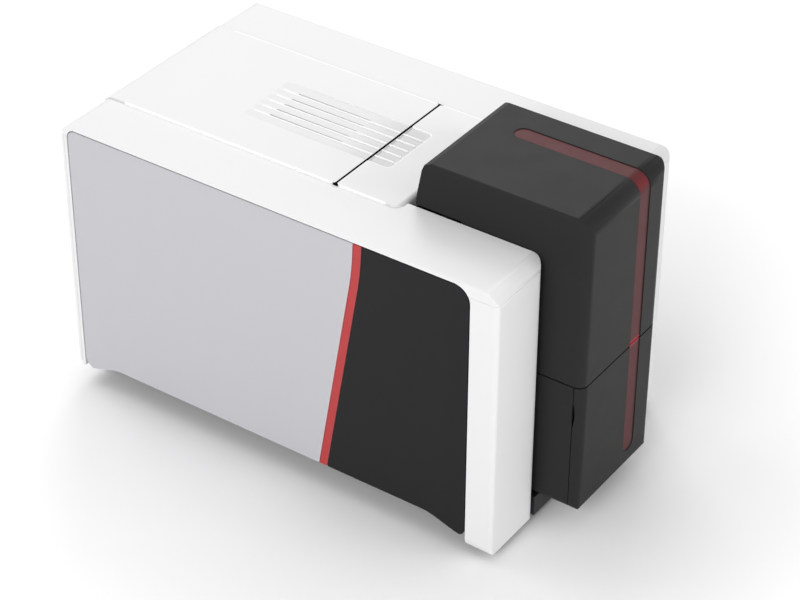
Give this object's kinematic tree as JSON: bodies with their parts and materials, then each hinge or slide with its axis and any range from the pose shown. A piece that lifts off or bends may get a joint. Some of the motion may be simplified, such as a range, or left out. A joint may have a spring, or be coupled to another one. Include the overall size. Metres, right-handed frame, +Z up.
{
  "type": "id card printer",
  "caption": "Desktop card printer with a hinged lid over the print engine, a hinged card feeder cover and a drop-down hopper door at the front.",
  "frame": {"origin": "centre of the outline's footprint on the supporting plane", "axes": "+Z up, the card feeder and hopper face -Y, +X points to the right seen from the front"},
  "size_m": [0.205, 0.3696, 0.2417],
  "materials": {
    "white_shell": "smooth semi-gloss",
    "pale_grey_panel": "smooth semi-gloss",
    "charcoal_panel": "satin",
    "accent_red": "smooth semi-gloss",
    "dark_shell": "fine satin texture",
    "light_strip": "dark translucent",
    "black_plastic": "fine texture",
    "foot_rubber": "matte",
    "chassis_steel": "plain sheet",
    "shaft_steel": "ground",
    "roller_rubber": "matte",
    "cleaning_rubber": "tacky, soft sheen",
    "spool_plastic": "satin",
    "ribbon_film": "glossy film",
    "sink_aluminium": "plain extrusion",
    "head_ceramic": "glazed",
    "motor_black": "satin",
    "board_green": "solder mask",
    "socket_steel": "plated"
  },
  "bodies": {
    "chassis": {"base_tray": "black_plastic", "rubber_feet": "foot_rubber", "left_column": "white_shell", "right_column": "white_shell", "top_shell": "white_shell", "front_top_panel": "white_shell", "left_side_housing": "white_shell", "right_side_housing": "white_shell", "left_front_panel": "charcoal_panel", "right_front_panel": "charcoal_panel", "left_accent_strip": "accent_red", "right_accent_strip": "accent_red", "left_rear_panel": "pale_grey_panel", "right_rear_panel": "pale_grey_panel", "rear_panel": "white_shell", "power_inlet": "black_plastic", "usb_port": "socket_steel", "network_port": "socket_steel", "left_chassis_plate": "chassis_steel", "right_chassis_plate": "chassis_steel", "rear_cross_member": "chassis_steel", "card_guide": "black_plastic", "magazine_frame": "black_plastic", "hopper_tray": "dark_shell", "feeder_hinge_rod": "shaft_steel", "lid_hinge_pins": "shaft_steel", "door_hinge_pins": "shaft_steel", "ribbon_guide_bars": "shaft_steel", "ribbon_film": "ribbon_film", "drive_motor": "motor_black", "drive_belt": "roller_rubber", "main_board": "board_green", "fan_frame": "black_plastic"},
    "lid": {"lid": "white_shell", "lid_frame": "black_plastic", "head_bracket": "chassis_steel", "heat_sink": "sink_aluminium", "print_head": "head_ceramic"},
    "feeder_cover": {"feeder_cover": "dark_shell", "upper_light_strip": "light_strip"},
    "hopper_door": {"hopper_door": "dark_shell", "lower_light_strip": "light_strip"},
    "card_weight": {"card_weight": "black_plastic"},
    "pick_roller": {"pick_shaft": "shaft_steel", "pick_tyre": "roller_rubber"},
    "feed_roller": {"feed_shaft": "shaft_steel", "feed_sleeve": "roller_rubber"},
    "platen_roller": {"platen_shaft": "shaft_steel", "platen_sleeve": "roller_rubber"},
    "back_roller": {"back_shaft": "shaft_steel", "back_sleeve": "roller_rubber"},
    "cleaning_roller": {"cleaning_roller": "cleaning_rubber"},
    "supply_spool": {"supply_spool": "spool_plastic", "supply_roll": "ribbon_film"},
    "takeup_spool": {"takeup_spool": "spool_plastic", "takeup_roll": "ribbon_film"},
    "motor_pulley": {"motor_pulley": "shaft_steel"},
    "fan_rotor": {"fan_rotor": "black_plastic"}
  },
  "joints": [
    {"name": "lid_hinge", "type": "hinge", "parent": "chassis", "child": "lid", "pos_m": [0, 0.17755, 0.2024], "axis": [-1, 0, 0], "range_deg": [0, 65]},
    {"name": "feeder_cover_hinge", "type": "hinge", "parent": "chassis", "child": "feeder_cover", "pos_m": [0, -0.06725, 0.213], "axis": [-1, 0, 0], "range_deg": [0, 65]},
    {"name": "hopper_door_hinge", "type": "hinge", "parent": "chassis", "child": "hopper_door", "pos_m": [0, -0.17875, 0.0225], "axis": [1, 0, 0], "range_deg": [0, 90]},
    {"name": "card_weight_slide", "type": "slide", "parent": "chassis", "child": "card_weight", "axis": [0, 0, 1], "range_m": [0, 0.064]},
    {"name": "pick_roller_spin", "type": "hinge", "parent": "chassis", "child": "pick_roller", "pos_m": [-0.0031, -0.10575, 0.1214], "axis": [1, 0, 0], "continuous": true},
    {"name": "platen_spin", "type": "hinge", "parent": "chassis", "child": "platen_roller", "pos_m": [-0.0031, 0.05175, 0.1059], "axis": [1, 0, 0], "continuous": true},
    {"name": "feed_spin", "type": "hinge", "parent": "chassis", "child": "feed_roller", "pos_m": [-0.0031, -0.02025, 0.1059], "axis": [1, 0, 0], "continuous": true},
    {"name": "back_spin", "type": "hinge", "parent": "chassis", "child": "back_roller", "pos_m": [-0.0031, 0.12475, 0.1059], "axis": [1, 0, 0], "continuous": true},
    {"name": "motor_spin", "type": "hinge", "parent": "chassis", "child": "motor_pulley", "pos_m": [-0.0031, 0.08475, 0.06], "axis": [1, 0, 0], "continuous": true},
    {"name": "cleaning_spin", "type": "hinge", "parent": "chassis", "child": "cleaning_roller", "pos_m": [-0.0031, -0.02025, 0.1182], "axis": [1, 0, 0], "continuous": true},
    {"name": "supply_spin", "type": "hinge", "parent": "chassis", "child": "supply_spool", "pos_m": [-0.0031, 0.10675, 0.16], "axis": [1, 0, 0], "continuous": true},
    {"name": "takeup_spin", "type": "hinge", "parent": "chassis", "child": "takeup_spool", "pos_m": [-0.0031, -0.00525, 0.16], "axis": [1, 0, 0], "continuous": true},
    {"name": "fan_spin", "type": "hinge", "parent": "chassis", "child": "fan_rotor", "pos_m": [0.07, 0.17475, 0.118], "axis": [0, 1, 0], "continuous": true}
  ],
  "couplings": [
    {"joint": "feed_spin", "follows": "platen_spin", "ratio": 1},
    {"joint": "back_spin", "follows": "platen_spin", "ratio": 1},
    {"joint": "motor_spin", "follows": "platen_spin", "ratio": 1.5},
    {"joint": "supply_spin", "follows": "platen_spin", "ratio": -0.366},
    {"joint": "takeup_spin", "follows": "platen_spin", "ratio": -0.484}
  ]
}
